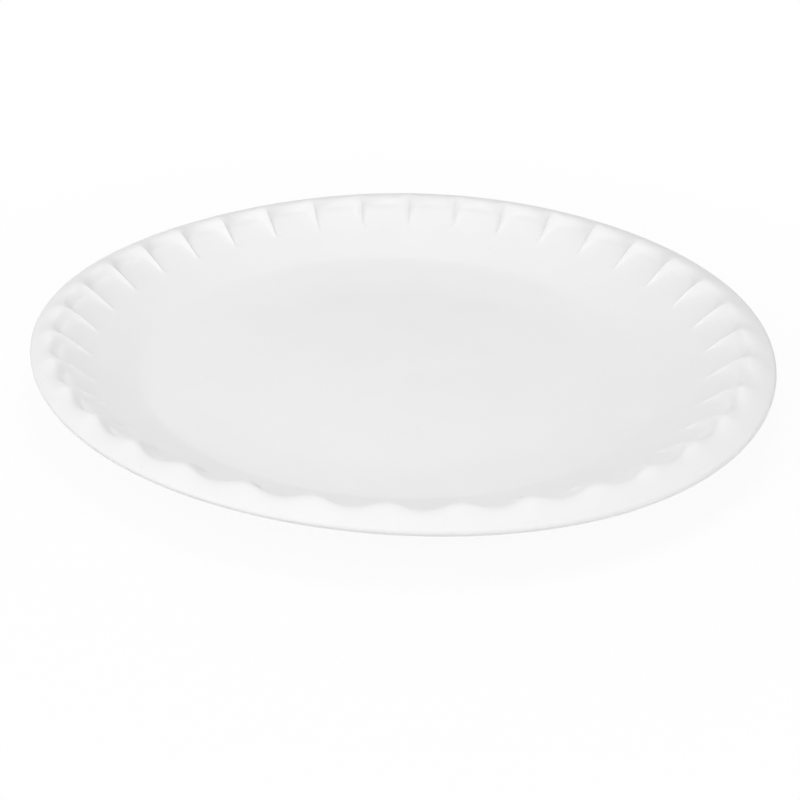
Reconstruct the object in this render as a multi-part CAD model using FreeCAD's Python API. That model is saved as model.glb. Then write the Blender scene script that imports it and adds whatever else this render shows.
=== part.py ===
import FreeCAD, Part
import math
import os
from FreeCAD import Vector

# Disposable dinner plate, thermoformed from one sheet of polystyrene foam.
# Millimetres, +Z up.  The flat underside stands on z = 0 and the origin is the centre
# of the trimmed edge.  The floor, wall, rim and flutes are turned about the forming
# axis, which lies a little off that centre: the plate is punched out of the formed
# sheet in a second step, and the punch does not land quite true.
#
# The sheet is revolved from its section.  Each flute is a pocket pressed down into the
# inner side of the rim: the swelling of foam under it is fused on first, and then its
# hollow is cut, so that the foam is about as thick there as elsewhere.

# Overall sizes
plate_diameter = 225.6
plate_height = 20.6
foam_thickness = 2.2
trim_shift = 2.0
trim_direction = -45.0

# Rim, from its outer edge inward; slopes are degrees from level
flange_width = 6.0
flange_slope = 23.4
crest_width = 1.6
shoulder_width = 5.4
shoulder_slope = 23.5
rim_height = 8.5
rim_slope = 52.0

# Bowl, inward from the foot of the rim down to the flat floor
wall_width = 12.5
wall_slope = 29.0
band_slope = 7.5

# Flutes, pressed into the rim from below its foot to past its crest
flute_count = 36
flute_phase = 3.83
flute_lead = 0.8
flute_floor_width = 8.0
flute_floor_slope = 28.5
flute_shelf_slope = 12.0
flute_end_slope = 56.0
flute_overrun = 0.5
flute_side_slope = 63.8
flute_taper = 26.0
flute_foot_overlap = 0.2
flute_arch_radius = 3.6

# Foam gathered in each ridge, over what keeps the sheet's thickness
ridge_gather = 0.4

# Solids used only to cut with reach this far past what they cut
reach = rim_height

pitch = 360.0 / flute_count


def rise(width, slope):
    return width * math.tan(math.radians(slope))


def run(height, slope):
    return height / math.tan(math.radians(slope))


# Levels and radii about the forming axis, from the crest inward and down
crest_radius = plate_diameter / 2 - flange_width
shoulder_radius = crest_radius - crest_width
rim_radius = shoulder_radius - shoulder_width
rim_top = plate_height - rise(shoulder_width, shoulder_slope)
foot_level = plate_height - rim_height
foot_radius = rim_radius - run(rim_top - foot_level, rim_slope)
wall_radius = foot_radius - wall_width
wall_level = foot_level - rise(wall_width, wall_slope)
floor_radius = wall_radius - run(wall_level - foam_thickness, band_slope)
flute_start = foot_radius - flute_lead


def sheet_section():
    """Points along the upper face of the formed sheet, from the floor's edge outward."""
    beyond = flange_width + trim_shift + reach
    return [
        (floor_radius, foam_thickness),
        (wall_radius, wall_level),
        (foot_radius, foot_level),
        (rim_radius, rim_top),
        (shoulder_radius, plate_height),
        (crest_radius, plate_height),
        (crest_radius + beyond, plate_height - rise(beyond, flange_slope)),
    ]


def flute_section():
    """Points along the floor of a flute, from the wall below the rim's foot outward."""
    start_level = foot_level - rise(flute_lead, wall_slope)
    bend_radius = flute_start + flute_floor_width
    bend_level = start_level + rise(flute_floor_width, flute_floor_slope)
    beyond = crest_radius + reach - bend_radius
    return [
        (flute_start, start_level),
        (bend_radius, bend_level),
        (bend_radius + beyond, bend_level + rise(beyond, flute_shelf_slope)),
    ]


def lowered(points, depth):
    """The line that runs a given depth below another, measured square to it."""
    headings = [math.atan2(b[1] - a[1], b[0] - a[0]) for a, b in zip(points, points[1:])]
    result = []
    for index, (x, z) in enumerate(points):
        before = headings[max(index - 1, 0)]
        after = headings[min(index, len(headings) - 1)]
        mean = (before + after) / 2
        length = depth / math.cos((after - before) / 2)
        result.append((x + length * math.sin(mean), z - length * math.cos(mean)))
    return result


def section_face(points, y):
    corners = [Vector(x, y, z) for x, z in points]
    return Part.Face(Part.makePolygon(corners + corners[:1]))


def closed_at(points, level):
    """A line of points closed through a level above or below it."""
    return points + [(points[-1][0], level), (points[0][0], level)]


def turned(points, start, sweep):
    """A closed section turned about the forming axis."""
    face = section_face(points, 0.0)
    face.rotate(Vector(0, 0, 0), Vector(0, 0, 1), start)
    return face.revolve(Vector(0, 0, 0), Vector(0, 0, 1), sweep)


def full_sheet():
    """The formed sheet before its flutes and before it is trimmed."""
    upper = sheet_section()
    lower = lowered(upper, foam_thickness)
    floor_edge = (lower[0][0], 0.0)
    outline = [(0.0, 0.0), floor_edge] + lower[1:] + upper[::-1] + [(0.0, foam_thickness)]
    return turned(outline, 0.0, 360.0)


def flute_outline(level, spread):
    """Corners of a flute's plan at one level, with its sides moved out by spread."""
    taper = math.tan(math.radians(flute_taper))
    lean = run(1.0, flute_side_slope)
    foot_width = rise(foot_radius, pitch / 2) + flute_foot_overlap
    width = foot_width + (level - foot_level) * lean + spread * math.hypot(1.0, taper, lean)
    back = foot_radius - reach
    tip = crest_radius + flute_overrun + run(level - plate_height, flute_end_slope)
    tip += spread / math.sin(math.radians(flute_end_slope))
    corners = []
    for x, side in ((back, -1), (tip, -1), (tip, 1), (back, 1)):
        corners.append(Vector(x, side * (width - (x - foot_radius) * taper), level))
    return corners


def flute_block(spread):
    """A flute's sides and end as a solid that runs through its floor and past the rim."""
    low = flute_outline(foot_level - reach / 2, spread)
    high = flute_outline(plate_height + reach, spread)
    loops = [low[::-1], high]
    for index in range(4):
        after = (index + 1) % 4
        loops.append([low[index], low[after], high[after], high[index]])
    faces = [Part.Face(Part.makePolygon(loop + loop[:1])) for loop in loops]
    return Part.Solid(Part.Shell(faces))


def arch_edges(block):
    """The two slanting edges where the sides of a flute meet its outer end."""
    middle = (foot_radius + crest_radius) / 2
    slanting = [e for e in block.Edges if e.BoundBox.ZLength > reach]
    return [e for e in slanting if e.CenterOfMass.x > middle]


def flute_hollow():
    block = flute_block(0.0)
    arched = block.makeFillet(flute_arch_radius, arch_edges(block))
    above_floor = turned(closed_at(flute_section(), plate_height + reach), -pitch, 2 * pitch)
    return arched.common(above_floor)


def flute_swelling():
    """Foam around a flute, kept within the sheet where the two meet."""
    block = flute_block(foam_thickness + ridge_gather)
    half_width = block.BoundBox.YMax
    underside = closed_at(lowered(flute_section(), foam_thickness), plate_height + reach)
    above = section_face(underside, -half_width).extrude(Vector(0, 2 * half_width, 0))
    middle = closed_at(lowered(sheet_section(), foam_thickness / 2), 0.0)
    return block.common(above).common(turned(middle, -pitch, 2 * pitch))


def around(shape):
    """Copies of a shape at every flute."""
    copies = []
    for index in range(flute_count):
        copy = shape.copy()
        copy.rotate(Vector(0, 0, 0), Vector(0, 0, 1), flute_phase + index * pitch)
        copies.append(copy)
    return copies


def plate():
    """The formed sheet, punched out by a round tool centred on the origin."""
    formed = full_sheet().fuse(around(flute_swelling())).cut(around(flute_hollow()))
    offset = math.radians(trim_direction)
    formed.translate(Vector(-trim_shift * math.cos(offset), -trim_shift * math.sin(offset), 0))
    punch = Part.makeCylinder(plate_diameter / 2, plate_height + reach)
    return formed.common(punch).Solids[0]


os.makedirs("parts", exist_ok=True)
plate().exportStep("parts/plate.step")
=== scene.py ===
import math

import bmesh
import bpy
from bpy.props import FloatProperty, FloatVectorProperty, IntProperty, PointerProperty
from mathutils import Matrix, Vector


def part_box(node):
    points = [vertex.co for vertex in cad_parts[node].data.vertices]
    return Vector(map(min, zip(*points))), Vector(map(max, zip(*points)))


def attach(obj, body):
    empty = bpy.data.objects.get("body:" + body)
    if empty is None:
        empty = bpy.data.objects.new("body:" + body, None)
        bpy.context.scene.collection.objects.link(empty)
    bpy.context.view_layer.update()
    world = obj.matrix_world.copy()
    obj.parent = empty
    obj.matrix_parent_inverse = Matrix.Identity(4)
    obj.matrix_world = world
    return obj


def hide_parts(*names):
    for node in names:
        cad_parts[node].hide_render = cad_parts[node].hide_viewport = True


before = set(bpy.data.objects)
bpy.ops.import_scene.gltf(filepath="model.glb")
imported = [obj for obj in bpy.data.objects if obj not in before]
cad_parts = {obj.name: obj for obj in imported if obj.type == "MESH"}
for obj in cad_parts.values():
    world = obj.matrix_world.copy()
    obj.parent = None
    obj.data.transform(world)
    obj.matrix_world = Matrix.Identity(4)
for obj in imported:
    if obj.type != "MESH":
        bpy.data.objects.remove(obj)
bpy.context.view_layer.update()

bl_info = {
    "name": "Foam Plate",
    "version": (1, 0, 0),
    "blender": (4, 5, 0),
    "location": "3D View > Sidebar > Foam Plate",
    "description": "Builds a fluted disposable foam plate on a white studio floor",
    "category": "Add Mesh",
}

MM = 0.001
PLATE_LOW, PLATE_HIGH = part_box("plate")
EDGE_RADIUS = (PLATE_HIGH.x - PLATE_LOW.x) / 2

# Upper face of the sheet in mm, as (radius about the forming axis, level): the bowl from
# the flat floor out to the rim's foot, then the rim along the top of its ridges.
FLOOR_RADIUS = 53
FLOOR_RING = (FLOOR_RADIUS, 2.2)
BEND_RADIUS = 78.4
BOWL_RINGS = [
    (60, 2.27), (65.5, 2.8), (72, 3.62), (BEND_RADIUS, 4.48), (80.8, 5.1), (83.2, 6.2), (89.2, 9.1)]
FOOT_RING = (93.4, 11.3)
RIDGE_RINGS = [
    (95.4, 12.75), (97.9, 15.15), (100.8, 18.1), (103.05, 19.75),
    (104.95, 20.5), (106.35, 20.72), (107.6, 20.55)]
FLANGE_RINGS = [(109.9, 19.45)]

# Underside in mm, from the trimmed edge back to the flat floor
FLANGE_UNDER_RINGS = [(110.4, 16.9)]
GROOVE_RINGS = [(108.6, 17.7), (106.6, 18.1), (103.6, 17.2), (100.8, 14.6), (98.0, 11.6)]
BOWL_UNDER_RINGS = [
    (95.6, 9.7), (90.4, 7.0), (85.2, 4.2), (82.2, 3.1),
    (78.4, 2.2), (73.2, 1.35), (67.2, 0.6), (60, 0.1)]

# How the rings are pressed into a flute, row by row, in mm: (radius, level) on the flute's
# middle line, then (radius, level, half width) at the side of its floor and at the side's top.
# The rows follow the ridge rings.
FLUTE_ROWS = [
    ((95.4, 12.3), (95.4, 12.3, 7.8), (95.4, 12.5, 8.2)),
    ((97.9, 13.8), (97.9, 13.85, 7.6), (97.9, 14.6, 8.35)),
    ((100.5, 15.55), (100.4, 15.55, 7.1), (100.7, 17.1, 8.5)),
    ((102.3, 16.65), (101.8, 16.6, 6.5), (102.3, 18.55, 8.35)),
    ((104.2, 17.1), (103.2, 17.1, 5.7), (103.1, 19.25, 7.85)),
    ((105.5, 18.05), (104.4, 18.25, 4.85), (104.2, 19.9, 7.0)),
    ((106.8, 19.4), (106.0, 19.7, 3.9), (105.6, 20.3, 5.9)),
]
# The same for the swelling that the flute leaves in the underside, along the groove rings
SWELLING_ROWS = [
    ((108.2, 17.4), (108.2, 17.5, 4.6), (108.4, 17.7, 7.6)),
    ((106.8, 15.2), (106.8, 15.4, 5.2), (106.6, 17.6, 8.2)),
    ((104.2, 14.4), (104.1, 14.6, 6.0), (103.7, 16.8, 8.4)),
    ((101.2, 12.9), (101.2, 13.1, 6.8), (100.8, 14.3, 8.4)),
    ((98.0, 11.3), (98.0, 11.35, 7.2), (98.0, 11.5, 8.2)),
]


class PlateSettings(bpy.types.PropertyGroup):
    """Sizes and colours of the plate"""

    flute_count: IntProperty(
        name="Flutes", description="Number of flutes around the rim", default=36, min=12)
    flute_phase: FloatProperty(
        name="Flute phase",
        description="Angle of a flute's middle line about the forming axis, from +X toward +Y",
        default=math.radians(3.83), subtype="ANGLE", unit="ROTATION")
    trim_shift: FloatProperty(
        name="Trim shift", description="How far the punched edge lies off the forming axis",
        default=2.0 * MM, unit="LENGTH")
    trim_direction: FloatProperty(
        name="Trim direction", description="Direction of that shift, from +X toward +Y",
        default=math.radians(-45), subtype="ANGLE", unit="ROTATION")
    rim_droop: FloatProperty(
        name="Rim droop", description="Fall of the rim on the two sides that the foam sags toward",
        default=2.6 * MM, unit="LENGTH")
    flange_slope: FloatProperty(
        name="Flange slope", description="Fall of the flange from level",
        default=math.radians(23.4), subtype="ANGLE", unit="ROTATION")
    edge_thickness: FloatProperty(
        name="Edge thickness", description="Thickness of the foam where the punch pinched it",
        default=0.9 * MM, unit="LENGTH")
    edge_crease: FloatProperty(
        name="Edge crease", description="Sharpness of the punched edge",
        default=0.6, min=0.0, max=1.0, subtype="FACTOR")
    ridge_crease: FloatProperty(
        name="Ridge crease", description="Sharpness of the ridges between flutes",
        default=0.8, min=0.0, max=1.0, subtype="FACTOR")
    flute_crease: FloatProperty(
        name="Flute crease", description="Sharpness of the edge round each flute's floor",
        default=0.25, min=0.0, max=1.0, subtype="FACTOR")
    foam_color: FloatVectorProperty(
        name="Foam", description="Colour of the foam's skin", subtype="COLOR",
        default=(0.87, 0.87, 0.87), min=0.0, max=1.0)
    clouding: FloatProperty(
        name="Clouding", description="How much the skin darkens in its cloudy patches",
        default=0.012, min=0.0, max=0.2, subtype="FACTOR")
    cell_size: FloatProperty(
        name="Cell size", description="Width of the foam's cells under the skin",
        default=0.6 * MM, min=0.05 * MM, unit="LENGTH")
    cell_depth: FloatProperty(
        name="Cell depth", description="Height of the relief that the cells leave in the skin",
        default=0.012 * MM, unit="LENGTH")


class StudioSettings(bpy.types.PropertyGroup):
    """Camera, lamps and floor"""

    lens: FloatProperty(
        name="Lens", description="Focal length of the camera",
        default=65.5, min=1.0, unit="CAMERA")
    lamp_power: FloatProperty(
        name="Lamps", description="Share of their usual power that the lamps give",
        default=1.0, min=0.0, soft_max=2.0, subtype="FACTOR")
    room_light: FloatProperty(
        name="Room light", description="Strength of the even light of the room",
        default=0.2, min=0.0)
    shadow: FloatProperty(
        name="Shadow", description="How much of the plate's shadow the white floor shows",
        default=0.07, min=0.0, max=1.0, subtype="FACTOR")


def settings():
    return bpy.context.scene.foam_plate


def studio():
    return bpy.context.scene.foam_plate_studio


# ---------------------------------------------------------------- mesh tools


def deselect_all():
    bpy.ops.object.select_all(action="DESELECT")


def angle_of(point):
    return math.atan2(point.y, point.x)


def trim_vector():
    """From the forming axis to the middle of the punched edge."""
    plate = settings()
    direction = Vector((math.cos(plate.trim_direction), math.sin(plate.trim_direction), 0))
    return direction * plate.trim_shift


def edit_mesh(piece):
    return bmesh.from_edit_mesh(piece.data)


def select_vertices(piece, indices):
    """Select just these vertices in edit mode."""
    mesh = edit_mesh(piece)
    mesh.verts.ensure_lookup_table()
    for vertex in mesh.verts:
        vertex.select = False
    for index in indices:
        mesh.verts[index].select = True
    mesh.select_flush_mode()
    bmesh.update_edit_mesh(piece.data)


def selected_vertices(piece):
    """The selected points, in order around the forming axis."""
    mesh = edit_mesh(piece)
    mesh.verts.index_update()
    chosen = [vertex for vertex in mesh.verts if vertex.select]
    chosen.sort(key=lambda vertex: angle_of(vertex.co))
    return [vertex.index for vertex in chosen]


def move_ring(old, new):
    """Widen and lift the selected points from one (radius, level) to another, in mm."""
    factor = new[0] / old[0]
    bpy.ops.transform.resize(value=(factor, factor, 1), center_override=(0, 0, 0))
    bpy.ops.transform.translate(value=(0, 0, (new[1] - old[1]) * MM))


def extrude_rings(piece, start, rings):
    """Extrude the selected ring through each (radius, level) and return the rings' points."""
    made = []
    for ring in rings:
        bpy.ops.mesh.extrude_edges_move()
        move_ring(start, ring)
        made.append(selected_vertices(piece))
        start = ring
    return made


def turn_selected(angle):
    """Turn the selected points about the forming axis; with no window the turn is reversed."""
    bpy.ops.transform.rotate(value=-angle, orient_axis="Z", center_override=(0, 0, 0))


# ---------------------------------------------------------------- the plate

# A flute's slice has seven columns of points: a ridge, the top of the flute's flank, the side
# of its floor, its middle line, and the same again to the next ridge. SIDES and FLANKS say
# which way from the middle those columns lie.
COLUMNS = 6
MIDDLE = 3
SIDES = {2: -1, 4: 1}
FLANKS = {1: -1, 5: 1}
WELD_DISTANCE = 0.01 * MM
SUBDIVISIONS = 2
# How far the punched face leans in, as a share of a cut square to the flange
EDGE_LEAN = 0.6
# How many ridge rings out from the rim's foot the ridges and the flutes' sides stay sharp
SHARP_RIDGE_ROWS = 3
SHARP_FLUTE_ROWS = 5
# The sag follows this power of the cosine, which keeps it to two sides
DROOP_POWER = 4
# One in this many lines is kept across the plain bowl
KEPT_LINE = 4
# Points whose radii differ by less lie on one ring
SAME_RADIUS = 0.2 * MM


def press_row(piece, ring, start, row, pitch):
    """Press one row of points into the flute, column by column."""
    middle, side, flank = row
    select_vertices(piece, [ring[MIDDLE]])
    move_ring(start, middle)
    for (radius, level, half_width), places in ((side, SIDES), (flank, FLANKS)):
        for column, way in places.items():
            select_vertices(piece, [ring[column]])
            move_ring(start, (radius, level))
            old_angle = (column - MIDDLE) * pitch / COLUMNS
            turn_selected(way * math.asin(half_width / radius) - old_angle)


def first_arc(pitch):
    """A flute's width of the floor's edge, as a line of points."""
    deselect_all()
    around = round(2 * math.pi / pitch) * COLUMNS
    bpy.ops.mesh.primitive_circle_add(
        vertices=around, radius=FLOOR_RADIUS * MM, location=(0, 0, FLOOR_RING[1] * MM))
    piece = bpy.context.object
    piece.name = "foam_plate"
    bpy.ops.object.transform_apply(location=True, rotation=True, scale=True)
    bpy.ops.object.mode_set(mode="EDIT")
    slack = pitch / COLUMNS / 2
    beyond = [vertex.index for vertex in edit_mesh(piece).verts
              if not -slack < angle_of(vertex.co) < pitch + slack]
    select_vertices(piece, beyond)
    bpy.ops.mesh.delete(type="VERT")
    # Out of edit mode and back, so that the points left are numbered afresh
    bpy.ops.object.mode_set(mode="OBJECT")
    bpy.ops.object.mode_set(mode="EDIT")
    bpy.ops.mesh.select_all(action="SELECT")
    return piece


def draw_sheet(piece):
    """Draw the arc out along the top of the sheet and back along its underside."""
    plate = settings()
    slope = math.tan(plate.flange_slope)
    run = EDGE_RADIUS / MM - FLANGE_RINGS[-1][0]
    edge_top = (EDGE_RADIUS / MM, FLANGE_RINGS[-1][1] - run * slope)
    thick = plate.edge_thickness / MM
    lean = thick * math.sin(plate.flange_slope) * EDGE_LEAN
    edge_low = (edge_top[0] - lean, edge_top[1] - thick)
    steps = {
        "bowl": BOWL_RINGS + [FOOT_RING],
        "ridge": RIDGE_RINGS,
        "flange": FLANGE_RINGS + [edge_top],
        "edge": [edge_low],
        "flange_under": FLANGE_UNDER_RINGS,
        "groove": GROOVE_RINGS,
        "bowl_under": BOWL_UNDER_RINGS + [(FLOOR_RADIUS, 0.0)],
    }
    rings = {}
    last = FLOOR_RING
    for name, targets in steps.items():
        rings[name] = extrude_rings(piece, last, targets)
        last = targets[-1]
    return rings


def crease_lines(piece, rings, columns, amount):
    """Sharpen the edges that join these columns of points through these rows."""
    select_vertices(piece, [ring[column] for ring in rings for column in columns])
    bpy.ops.transform.edge_crease(value=amount)


def crease_flute(piece, rings):
    """Sharpen the ridges and the edge round the flute's floor."""
    plate = settings()
    foot, rows = rings["bowl"][-1], rings["ridge"]
    for column in (0, COLUMNS):
        crease_lines(piece, [foot] + rows[:SHARP_RIDGE_ROWS], (column,), plate.ridge_crease)
    for column in SIDES:
        crease_lines(piece, [foot] + rows[:SHARP_FLUTE_ROWS], (column,), plate.flute_crease)
    crease_lines(
        piece, rows[SHARP_FLUTE_ROWS - 1:SHARP_FLUTE_ROWS], (*SIDES, MIDDLE), plate.flute_crease)
    for ring in rings["flange"][-1:] + rings["edge"]:
        crease_lines(piece, [ring], range(COLUMNS + 1), plate.edge_crease)


def copy_around(pitch, count):
    """Copy the flute around the forming axis and join the copies."""
    bpy.ops.mesh.select_all(action="SELECT")
    bpy.ops.mesh.spin(
        steps=count - 1, dupli=True, angle=pitch * (count - 1),
        center=(0, 0, 0), axis=(0, 0, 1))
    bpy.ops.mesh.select_all(action="SELECT")
    bpy.ops.mesh.remove_doubles(threshold=WELD_DISTANCE)


def fill_floor():
    """Close the round openings in the middle of both faces."""
    bpy.ops.mesh.select_all(action="SELECT")
    bpy.ops.mesh.fill_holes(sides=0)


def shift_trimmed_edge(piece):
    """Slide the punched edge off the forming axis, and up and down with the flange."""
    plate = settings()
    inside_edge = (FLANGE_UNDER_RINGS[0][0] + EDGE_RADIUS / MM) / 2 * MM
    select_vertices(piece, [
        vertex.index for vertex in edit_mesh(piece).verts
        if vertex.co.xy.length > inside_edge])
    shift = trim_vector()
    bpy.ops.transform.translate(value=shift)
    tilt = plate.trim_shift * math.tan(plate.flange_slope) / EDGE_RADIUS
    mesh = edit_mesh(piece)
    for vertex in mesh.verts:
        if vertex.select:
            vertex.co.z -= tilt * (vertex.co - shift).dot(shift.normalized())
    bmesh.update_edit_mesh(piece.data)


def droop_rim(piece):
    """Let the wall and rim sag on two opposite sides, more and more out to the edge."""
    plate = settings()
    across = trim_vector().normalized()
    mesh = edit_mesh(piece)
    for vertex in mesh.verts:
        radius = vertex.co.xy.length
        reach = (radius - BEND_RADIUS * MM) / (EDGE_RADIUS - BEND_RADIUS * MM)
        if reach > 0:
            toward = vertex.co.dot(across) / radius
            vertex.co.z -= plate.rim_droop * reach * toward ** DROOP_POWER
    bmesh.update_edit_mesh(piece.data)


def thin_out_bowl(piece, segments):
    """Drop most of the lines across the plain bowl, which only the flutes need."""
    plain = BOWL_RINGS[-1][0] * MM - SAME_RADIUS
    step = 2 * math.pi / segments
    start = settings().flute_phase
    for element in (*piece.data.vertices, *piece.data.polygons, *piece.data.edges):
        element.select = False
    for edge in piece.data.edges:
        ends = [piece.data.vertices[index].co for index in edge.vertices]
        radii = [end.xy.length for end in ends]
        if max(radii) <= plain:
            line = round((angle_of(ends[0]) - start) / step)
            edge.select = abs(radii[0] - radii[1]) > SAME_RADIUS and line % KEPT_LINE != 0
    bpy.context.tool_settings.mesh_select_mode = (False, True, False)
    bpy.ops.object.mode_set(mode="EDIT")
    bpy.ops.mesh.dissolve_edges(use_verts=True)


class FOAMPLATE_OT_plate(bpy.types.Operator):
    """Model the plate: one flute's slice of the sheet, copied around, with a punched edge"""

    bl_idname = "foamplate.plate"
    bl_label = "Plate"

    def execute(self, context):
        plate = settings()
        pitch = 2 * math.pi / plate.flute_count
        piece = first_arc(pitch)
        rings = draw_sheet(piece)
        for name, starts, rows in (
                ("ridge", RIDGE_RINGS, FLUTE_ROWS), ("groove", GROOVE_RINGS, SWELLING_ROWS)):
            for ring, start, row in zip(rings[name], starts, rows):
                press_row(piece, ring, start, row, pitch)
        crease_flute(piece, rings)
        copy_around(pitch, plate.flute_count)
        bpy.ops.mesh.select_all(action="SELECT")
        turn_selected(plate.flute_phase + pitch / 2)
        shift_trimmed_edge(piece)
        droop_rim(piece)
        bpy.ops.object.mode_set(mode="OBJECT")
        smooth = piece.modifiers.new("Soften", "SUBSURF")
        smooth.levels = smooth.render_levels = SUBDIVISIONS
        bpy.ops.object.modifier_apply(modifier=smooth.name)
        thin_out_bowl(piece, plate.flute_count * COLUMNS * 2 ** SUBDIVISIONS)
        fill_floor()
        bpy.ops.mesh.select_all(action="SELECT")
        bpy.ops.mesh.normals_make_consistent(inside=False)
        bpy.ops.object.mode_set(mode="OBJECT")
        piece.location = -trim_vector()
        bpy.ops.object.transform_apply(location=True, rotation=True, scale=True)
        bpy.ops.object.shade_smooth()
        piece.data.materials.append(foam_material())
        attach(piece, "root")
        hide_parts("plate")
        return {"FINISHED"}


# ---------------------------------------------------------------- materials

# A scale is in features for each metre, and a range is the part of a texture's values that counts
CLOUD_SCALE = 45
CLOUD_DETAIL = 3
CLOUD_RANGE = (0.35, 0.65)
# Spots of painted shade: a darker colour stands in for the shade inside tiny holes in the skin,
# which the surface itself doesn't have
PINHOLE_SHADE_SCALE = 85
PINHOLE_SHADE_RANGE = (0.015, 0.05)
PAINTED_PINHOLE_SHADE = 0.94
SATIN_SCALE = 120
SATIN_DETAIL = 2
SATIN_RANGE = (0.3, 0.7)
SATIN_ROUGHNESS = (0.44, 0.56)
FOAM_IOR = 1.3
CELL_STRENGTH = 0.6
SKIN_SCALE = 160
SKIN_DETAIL = 2
SKIN_STRENGTH = 0.5
SKIN_DEPTH = 0.1 * MM
FLOOR_COLOR = (0.9, 0.9, 0.9, 1)
WHITE = (1, 1, 1, 1)


def new_material(name):
    material = bpy.data.materials.new(name)
    material.use_nodes = True
    nodes = material.node_tree.nodes
    nodes.clear()
    return material, nodes, material.node_tree.links


def add_noise(nodes, links, place, scale, detail):
    noise = nodes.new("ShaderNodeTexNoise")
    noise.inputs["Scale"].default_value = scale
    noise.inputs["Detail"].default_value = detail
    links.new(place, noise.inputs["Vector"])
    return noise.outputs["Fac"]


def spread(nodes, links, value, old, new):
    """Map a value from its old (low, high) range onto a new one."""
    ramp = nodes.new("ShaderNodeMapRange")
    ramp.inputs["From Min"].default_value, ramp.inputs["From Max"].default_value = old
    ramp.inputs["To Min"].default_value, ramp.inputs["To Max"].default_value = new
    links.new(value, ramp.inputs["Value"])
    return ramp.outputs["Result"]


def mix_colors(nodes, links, factor, first, second):
    mix = nodes.new("ShaderNodeMix")
    mix.data_type = "RGBA"
    links.new(factor, mix.inputs["Factor"])
    for socket, color in ((mix.inputs["A"], first), (mix.inputs["B"], second)):
        if hasattr(color, "links"):
            links.new(color, socket)
        else:
            socket.default_value = color
    return mix.outputs["Result"]


def foam_material():
    """White polystyrene skin: satin, faintly cloudy, with tiny cells and a few spots of painted
    shade where the skin has tiny holes.
    """
    plate = settings()
    material, nodes, links = new_material("foam_skin")
    output = nodes.new("ShaderNodeOutputMaterial")
    shader = nodes.new("ShaderNodeBsdfPrincipled")
    links.new(shader.outputs[0], output.inputs["Surface"])
    place = nodes.new("ShaderNodeTexCoord").outputs["Object"]

    clouds = spread(
        nodes, links, add_noise(nodes, links, place, CLOUD_SCALE, CLOUD_DETAIL),
        CLOUD_RANGE, (0, 1))
    dull = [channel * (1 - plate.clouding) for channel in plate.foam_color]
    cloudy = mix_colors(nodes, links, clouds, (*plate.foam_color, 1), (*dull, 1))
    # Painted shade: small darker spots stand in for the shade inside tiny holes in the skin
    pinhole_shade_spots = nodes.new("ShaderNodeTexVoronoi")
    pinhole_shade_spots.inputs["Scale"].default_value = PINHOLE_SHADE_SCALE
    links.new(place, pinhole_shade_spots.inputs["Vector"])
    painted_pinhole_shade_mask = spread(nodes, links, pinhole_shade_spots.outputs["Distance"], PINHOLE_SHADE_RANGE, (1, 0))
    painted_pinhole_shade_color = [channel * PAINTED_PINHOLE_SHADE for channel in plate.foam_color]
    links.new(mix_colors(nodes, links, painted_pinhole_shade_mask, cloudy, (*painted_pinhole_shade_color, 1)), shader.inputs["Base Color"])

    satin = spread(
        nodes, links, add_noise(nodes, links, place, SATIN_SCALE, SATIN_DETAIL),
        SATIN_RANGE, SATIN_ROUGHNESS)
    links.new(satin, shader.inputs["Roughness"])
    shader.inputs["IOR"].default_value = FOAM_IOR

    cells = nodes.new("ShaderNodeTexVoronoi")
    cells.feature = "SMOOTH_F1"
    cells.inputs["Scale"].default_value = 1 / plate.cell_size
    links.new(place, cells.inputs["Vector"])
    cell_relief = nodes.new("ShaderNodeBump")
    cell_relief.invert = True
    cell_relief.inputs["Strength"].default_value = CELL_STRENGTH
    cell_relief.inputs["Distance"].default_value = plate.cell_depth
    links.new(cells.outputs["Distance"], cell_relief.inputs["Height"])
    skin_relief = nodes.new("ShaderNodeBump")
    skin_relief.inputs["Strength"].default_value = SKIN_STRENGTH
    skin_relief.inputs["Distance"].default_value = SKIN_DEPTH
    skin = add_noise(nodes, links, place, SKIN_SCALE, SKIN_DETAIL)
    links.new(skin, skin_relief.inputs["Height"])
    links.new(cell_relief.outputs["Normal"], skin_relief.inputs["Normal"])
    links.new(skin_relief.outputs["Normal"], shader.inputs["Normal"])
    return material


# ---------------------------------------------------------------- studio

# Width of the floor in metres, and of the camera's sensor in mm
FLOOR_SIZE = 8
SENSOR_WIDTH = 36
# The camera's place, the point it looks at, both from the forming axis in mm, and its roll
CAMERA_PLACE = (0, -406.6, 214.9)
CAMERA_AIM = (0.5, -39.1, 12.2)
CAMERA_ROLL = math.radians(1.51)

# Each lamp as its name, direction from +X toward +Y and height in degrees, distance and width
# of its disc in metres, and power in watts
LAMPS = [
    ("front_left_lamp", -150, 50, 0.75, 0.5, 1.45),
    ("low_left_lamp", -150, 25, 0.75, 0.5, 0.65),
    ("front_right_lamp", -37, 25, 0.75, 0.5, 1.24),
    ("overhead_lamp", -90, 80, 0.5, 0.25, 0.76),
    ("front_lamp", -90, 15, 1.3, 0.9, 2.3),
    ("back_lamp", 70, 60, 1.3, 0.9, 2.25),
]


def seen_directly(nodes, links):
    """1 for what the camera sees, also in a reflection or through glass, and 0 for its light."""
    path = nodes.new("ShaderNodeLightPath")
    total = path.outputs["Is Camera Ray"]
    for name in ("Is Glossy Ray", "Is Transmission Ray"):
        add = nodes.new("ShaderNodeMath")
        add.operation = "ADD"
        add.use_clamp = True
        links.new(total, add.inputs[0])
        links.new(path.outputs[name], add.inputs[1])
        total = add.outputs[0]
    return total


def mix_shaders(nodes, links, factor, first, second):
    mix = nodes.new("ShaderNodeMixShader")
    links.new(factor, mix.inputs[0])
    links.new(first, mix.inputs[1])
    links.new(second, mix.inputs[2])
    return mix.outputs[0]


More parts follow.
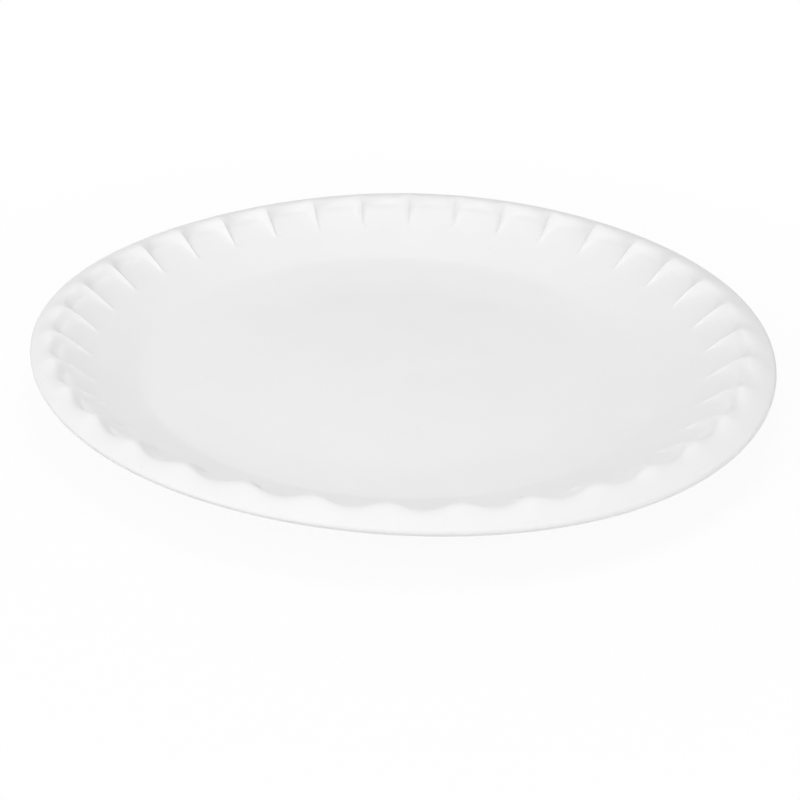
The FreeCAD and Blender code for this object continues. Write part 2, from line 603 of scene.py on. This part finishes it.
def floor_material():
    """A pale matt floor that the camera sees as white, with a faint shadow round the plate."""
    material, nodes, links = new_material("studio_white")
    output = nodes.new("ShaderNodeOutputMaterial")
    matt = nodes.new("ShaderNodeBsdfDiffuse")
    matt.inputs["Color"].default_value = FLOOR_COLOR
    white = nodes.new("ShaderNodeEmission")
    white.inputs["Strength"].default_value = 1.0
    distance = nodes.new("ShaderNodeVectorMath")
    distance.operation = "LENGTH"
    links.new(nodes.new("ShaderNodeTexCoord").outputs["Object"], distance.inputs[0])
    shade = spread(
        nodes, links, distance.outputs["Value"],
        (EDGE_RADIUS, 2 * EDGE_RADIUS), (studio().shadow, 0))
    seen = mix_shaders(nodes, links, shade, white.outputs[0], matt.outputs[0])
    final = mix_shaders(nodes, links, seen_directly(nodes, links), matt.outputs[0], seen)
    links.new(final, output.inputs["Surface"])
    return material


def point_at(thing, target):
    thing.rotation_euler = (Vector(target) - thing.location).to_track_quat("-Z", "Y").to_euler()


class FOAMPLATE_OT_studio(bpy.types.Operator):
    """Set up the floor, the lamps, the room's light and the camera"""

    bl_idname = "foamplate.studio"
    bl_label = "Studio"

    def execute(self, context):
        deselect_all()
        bpy.ops.mesh.primitive_plane_add(size=FLOOR_SIZE, location=(0, 0, 0))
        floor = context.object
        floor.name = "studio_floor"
        floor.data.materials.append(floor_material())
        self.light_room(context.scene)
        self.add_lamps()
        self.add_camera(context.scene)
        context.scene.view_settings.view_transform = "Standard"
        return {"FINISHED"}

    def light_room(self, scene):
        world = bpy.data.worlds.new("studio_room")
        scene.world = world
        world.use_nodes = True
        nodes, links = world.node_tree.nodes, world.node_tree.links
        nodes.clear()
        output = nodes.new("ShaderNodeOutputWorld")
        light = nodes.new("ShaderNodeBackground")
        light.inputs["Color"].default_value = WHITE
        light.inputs["Strength"].default_value = studio().room_light
        white = nodes.new("ShaderNodeBackground")
        white.inputs["Color"].default_value = WHITE
        final = mix_shaders(
            nodes, links, seen_directly(nodes, links), light.outputs[0], white.outputs[0])
        links.new(final, output.inputs["Surface"])

    def add_lamps(self):
        for name, around, height, distance, width, power in LAMPS:
            around, height = math.radians(around), math.radians(height)
            level = distance * math.cos(height)
            bpy.ops.object.light_add(type="AREA", location=(
                level * math.cos(around), level * math.sin(around), distance * math.sin(height)))
            lamp = bpy.context.object
            lamp.name = name
            lamp.data.shape = "DISK"
            lamp.data.size = width
            lamp.data.energy = power * studio().lamp_power
            point_at(lamp, (0, 0, 0))

    def add_camera(self, scene):
        forming_axis = -trim_vector()
        bpy.ops.object.camera_add(location=forming_axis + Vector(CAMERA_PLACE) * MM)
        camera = bpy.context.object
        camera.name = "studio_camera"
        point_at(camera, forming_axis + Vector(CAMERA_AIM) * MM)
        camera.rotation_euler.rotate_axis("Z", CAMERA_ROLL)
        camera.data.sensor_width = SENSOR_WIDTH
        camera.data.lens = studio().lens
        scene.camera = camera


# ---------------------------------------------------------------- panel and registration


class FOAMPLATE_PT_panel(bpy.types.Panel):
    """Foam plate tools"""

    bl_label = "Foam Plate"
    bl_idname = "FOAMPLATE_PT_panel"
    bl_space_type = "VIEW_3D"
    bl_region_type = "UI"
    bl_category = "Foam Plate"

    def draw(self, context):
        for group in (settings(), studio()):
            for name in group.__annotations__:
                self.layout.prop(group, name)
        for operator in OPERATORS:
            self.layout.operator(operator.bl_idname)


OPERATORS = (FOAMPLATE_OT_plate, FOAMPLATE_OT_studio)
CLASSES = (PlateSettings, StudioSettings, *OPERATORS, FOAMPLATE_PT_panel)


def register():
    for cls in CLASSES:
        bpy.utils.register_class(cls)
    bpy.types.Scene.foam_plate = PointerProperty(type=PlateSettings)
    bpy.types.Scene.foam_plate_studio = PointerProperty(type=StudioSettings)


def unregister():
    del bpy.types.Scene.foam_plate_studio
    del bpy.types.Scene.foam_plate
    for cls in reversed(CLASSES):
        bpy.utils.unregister_class(cls)


def main():
    register()
    bpy.ops.foamplate.plate()
    bpy.ops.foamplate.studio()


if __name__ == "__main__":
    main()
